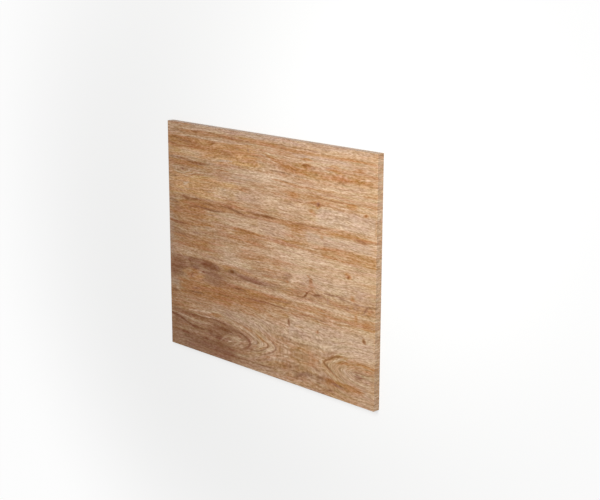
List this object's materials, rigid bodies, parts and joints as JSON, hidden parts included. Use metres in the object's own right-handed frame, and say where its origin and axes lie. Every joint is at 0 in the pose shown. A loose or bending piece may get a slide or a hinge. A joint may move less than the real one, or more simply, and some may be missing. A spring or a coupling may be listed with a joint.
{
  "type": "bath end panel",
  "caption": "Flat rectangular board with an oak-print face that closes the short end of a bath between the floor and the rim.",
  "frame": {"origin": "centre of the back face, which is the face the board lies on", "axes": "+Z out of the printed face; +X along the width and the grain, towards the edge that meets the front panel; +Y up the height, towards the edge under the bath's rim"},
  "size_m": [0.68, 0.56, 0.018],
  "materials": {
    "oak_foil_board": "fibreboard with a satin oak-print foil on the face and edges and plain white melamine on the back"
  },
  "bodies": {
    "root": {"end_panel": "oak_foil_board"}
  },
  "joints": []
}
